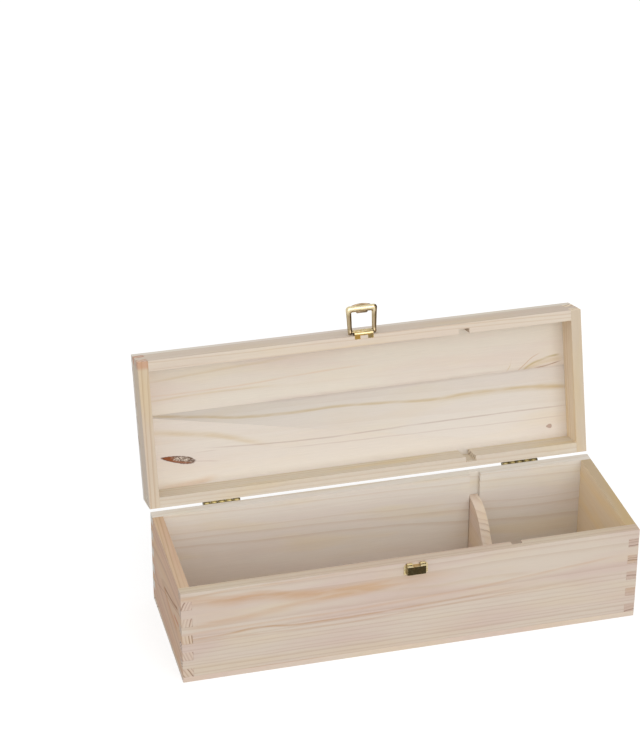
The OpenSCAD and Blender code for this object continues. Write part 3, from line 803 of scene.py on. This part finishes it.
def loop_depth(s):
    """How far the loop reaches back and front at a distance from its pivot."""
    if s < 0:
        reach = math.sqrt(EYE_R ** 2 - s ** 2)
        return -reach, reach
    back = -EYE_R + (LOOP_BACK + EYE_R) * min(s / BACK_REACH, 1.0)
    front = EYE_R + (LOOP_FRONT - EYE_R) * min(s / FRONT_REACH, 1.0)
    return back, front


def loop_stations():
    """The bar's inner and outer edge (x, s), from one foot to the middle of the free end."""
    for s in SIDE_STATIONS:
        inner = HOLE_FOOT + (HOLE_FAR - HOLE_FOOT) * max(s, 0.0) / HOLE_END
        outer = FOOT_HALF + (END_HALF - FOOT_HALF) * s / LOOP_L
        yield (inner, s), (outer, s)
    for i in range(CORNER_STEPS + 1):
        angle = math.pi / 2 * i / CORNER_STEPS
        c, e = math.cos(angle), math.sin(angle)
        yield ((HOLE_FAR - HOLE_R + HOLE_R * c, HOLE_END - HOLE_R + HOLE_R * e),
               (END_HALF - CORNER_R + CORNER_R * c, LOOP_L - CORNER_R + CORNER_R * e))
    for x in END_STATIONS:
        yield (x, HOLE_END), (x, LOOP_L)


def loop_rings():
    """Oval sections of the loop's bar, from one foot round the free end to the other."""
    stations = list(loop_stations())
    half = [((-ix, i_s), (-ox, o_s)) for (ix, i_s), (ox, o_s) in stations]
    for (ix, i_s), (ox, o_s) in half + stations[-2::-1]:
        back, front = loop_depth(min(i_s, o_s))
        ring = []
        for i in range(SECTION_STEPS):
            angle = math.tau * i / SECTION_STEPS
            a = (1 + math.cos(angle)) / 2
            n = (back + front + (front - back) * math.sin(angle)) / 2
            ring.append((ix + (ox - ix) * a, i_s + (o_s - i_s) * a, n))
        yield ring


def lip_rings():
    """The arched finger lip, thin at both ends and curled away from the bar."""
    radius = (LIP_HALF ** 2 + LIP_RISE ** 2) / (2 * LIP_RISE)
    root = LOOP_L - LIP_ROOT
    for i in range(LIP_STEPS + 1):
        x = LIP_HALF * (2 * i / LIP_STEPS - 1)
        top = LOOP_L + LIP_RISE - radius + math.sqrt(radius ** 2 - x ** 2) - LIP_INSIDE
        curl = [(x, top - drop, n) for drop, n in LIP_CURL]
        yield [(x, root, LIP_BACK), *curl, (x, root, LIP_FRONT)]


def tongue_rings():
    """The flat tongue, with its two free corners cut."""
    root, cut = HOLE_END + TONGUE_ROOT, TONGUE_TIP + TONGUE_CUT
    for n in (TONGUE_BACK, TONGUE_FRONT):
        yield [(-TONGUE_HALF, root, n), (-TONGUE_HALF, cut, n),
               (TONGUE_CUT - TONGUE_HALF, TONGUE_TIP, n),
               (TONGUE_HALF - TONGUE_CUT, TONGUE_TIP, n),
               (TONGUE_HALF, cut, n), (TONGUE_HALF, root, n)]


def pin_rings(side):
    """The round pivot pin on one side of the loop."""
    angles = [math.tau * i / PIN_STEPS for i in range(PIN_STEPS)]
    for x in (PIN_FROM, PIN_TO):
        yield [(side * x, PIN_R * math.cos(angle), PIN_R * math.sin(angle)) for angle in angles]


def loop_piece():
    """The whole loop as one piece, in place of the CAD's."""
    mesh = bpy.data.meshes.new("loop_shell")
    mesh.materials.append(METAL["loop"])
    # A darker copy of the loop's brass for the lip and the tongue, painted shade
    mesh.materials.append(METAL["lip"])
    bm = bmesh.new()
    skin(bm, loop_rings())
    skin(bm, lip_rings(), slot=1)
    skin(bm, tongue_rings(), slot=1)
    for side in (-1, 1):
        skin(bm, pin_rings(side))
    bmesh.ops.recalc_face_normals(bm, faces=bm.faces)
    for face in bm.faces:
        face.smooth = True
    bm.to_mesh(mesh)
    bm.free()
    obj = bpy.data.objects.new("loop_shell", mesh)
    bpy.context.collection.objects.link(obj)
    ease(obj, LOOP_EASED * MM, 2, LOOP_SHARP)
    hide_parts("clasp_loop")
    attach(obj, "loop")


loop_piece()


# --------------------------------------------------------- stage, light, eye
# Places and sizes in metres
FLOOR_SIZE = 30.0
FLOOR_GREYS = (0.44, 0.44, 0.44, 1.0), (0.46, 0.46, 0.46, 1.0)
FLOOR_GLOW = 0.68

# The card stands on the right at x, from its low to its high corner (y, z)
CARD_X, CARD_LOW, CARD_HIGH = 0.3, (-0.45, 0.002), (0.7, 0.6)
CARD_DARK = srgb(108, 88, 64)
CARD_BROWN = srgb(140, 118, 90)

WHITE = (1.0, 1.0, 1.0, 1.0)
WORLD_LIGHT = 0.8
KEY_PLACE, KEY_AIM, KEY_SIZE = (0.35, -2.4, 1.0), (0.0, 0.0, 0.1), (2.2, 1.7)
KEY_POWER, KEY_COLOR = 26.0, (1.0, 0.99, 0.97)

# The camera that was fitted to the box's corners in the photograph
CAMERA_PLACE = Vector((-447.5, -1516.6, 1078.8)) * MM
CAMERA_AZIMUTH, CAMERA_ELEVATION = math.radians(14.34), math.radians(28.79)
CAMERA_REACH = 100.0
# Focal length and sensor width, in mm
CAMERA_LENS, SENSOR_WIDTH = 113.4, 36.0


def key_light():
    """One wide soft lamp in front of the box and above it."""
    lamp = bpy.data.lights.new("key", "AREA")
    lamp.shape = "RECTANGLE"
    lamp.size, lamp.size_y = KEY_SIZE
    lamp.energy = KEY_POWER
    lamp.color = KEY_COLOR
    obj = bpy.data.objects.new("key", lamp)
    bpy.context.collection.objects.link(obj)
    obj.location = KEY_PLACE
    way = Vector(KEY_AIM) - Vector(KEY_PLACE)
    obj.rotation_euler = way.to_track_quat("-Z", "Y").to_euler()


def floor():
    """A grey floor that takes shadows and glows up to white where it is seen."""
    bpy.ops.mesh.primitive_plane_add(size=FLOOR_SIZE, location=(0.0, 0.0, 0.0))
    obj = bpy.context.object
    obj.name = "floor"
    t = new_material("floor")
    cloud = t.noise(t.node("ShaderNodeTexCoord").outputs["Object"], 3.0)
    paint = t.node("ShaderNodeBsdfDiffuse")
    t.put(paint.inputs["Color"], t.mix(cloud, *FLOOR_GREYS))
    glow = t.node("ShaderNodeEmission")
    t.put(glow.inputs["Strength"], t.mul(t.seen_ray(), FLOOR_GLOW))
    both = t.node("ShaderNodeAddShader")
    t.put_all(both, (paint.outputs[0], glow.outputs[0]))
    obj.data.materials.append(t.output("ShaderNodeOutputMaterial", both.outputs[0]))


def dark_card():
    """A dark studio card that only shows as a reflection in the metal."""
    mesh = bpy.data.meshes.new("dark_card_right")
    (y_low, z_low), (y_high, z_high) = CARD_LOW, CARD_HIGH
    corners = [(CARD_X, y_low, z_low), (CARD_X, y_high, z_low),
               (CARD_X, y_high, z_high), (CARD_X, y_low, z_high)]
    mesh.from_pydata(corners, [], [(0, 1, 2, 3)])
    obj = bpy.data.objects.new("dark_card_right", mesh)
    bpy.context.collection.objects.link(obj)
    t = new_material("dark_card_right")
    cloud = t.noise(t.node("ShaderNodeTexCoord").outputs["Object"], 4.0)
    mesh.materials.append(t.principled(t.mix(cloud, CARD_DARK, CARD_BROWN), 0.9))
    for ray in ("camera", "diffuse", "shadow", "transmission"):
        setattr(obj, "visible_" + ray, False)


def world():
    """White where it is seen, and a little dimmer as light."""
    sky = bpy.data.worlds.new("studio")
    bpy.context.scene.world = sky
    t = Tree(sky)
    shades = []
    for strength in (WORLD_LIGHT, 1.0):
        shade = t.node("ShaderNodeBackground")
        t.put(shade.inputs["Color"], WHITE)
        t.put(shade.inputs["Strength"], strength)
        shades.append(shade.outputs[0])
    mix = t.node("ShaderNodeMixShader")
    t.put_all(mix, (t.seen_ray(), *shades))
    t.output("ShaderNodeOutputWorld", mix.outputs[0])


def camera():
    """The photograph's view."""
    cam = bpy.data.cameras.new("camera")
    cam.sensor_fit = "AUTO"
    cam.sensor_width = SENSOR_WIDTH
    cam.lens = CAMERA_LENS
    cam.clip_end = CAMERA_REACH
    obj = bpy.data.objects.new("camera", cam)
    bpy.context.collection.objects.link(obj)
    obj.location = CAMERA_PLACE
    obj.rotation_euler = (math.pi / 2 - CAMERA_ELEVATION, 0.0, -CAMERA_AZIMUTH)
    bpy.context.scene.camera = obj


floor()
dark_card()
world()
key_light()
camera()

bpy.context.scene.view_settings.view_transform = "Standard"
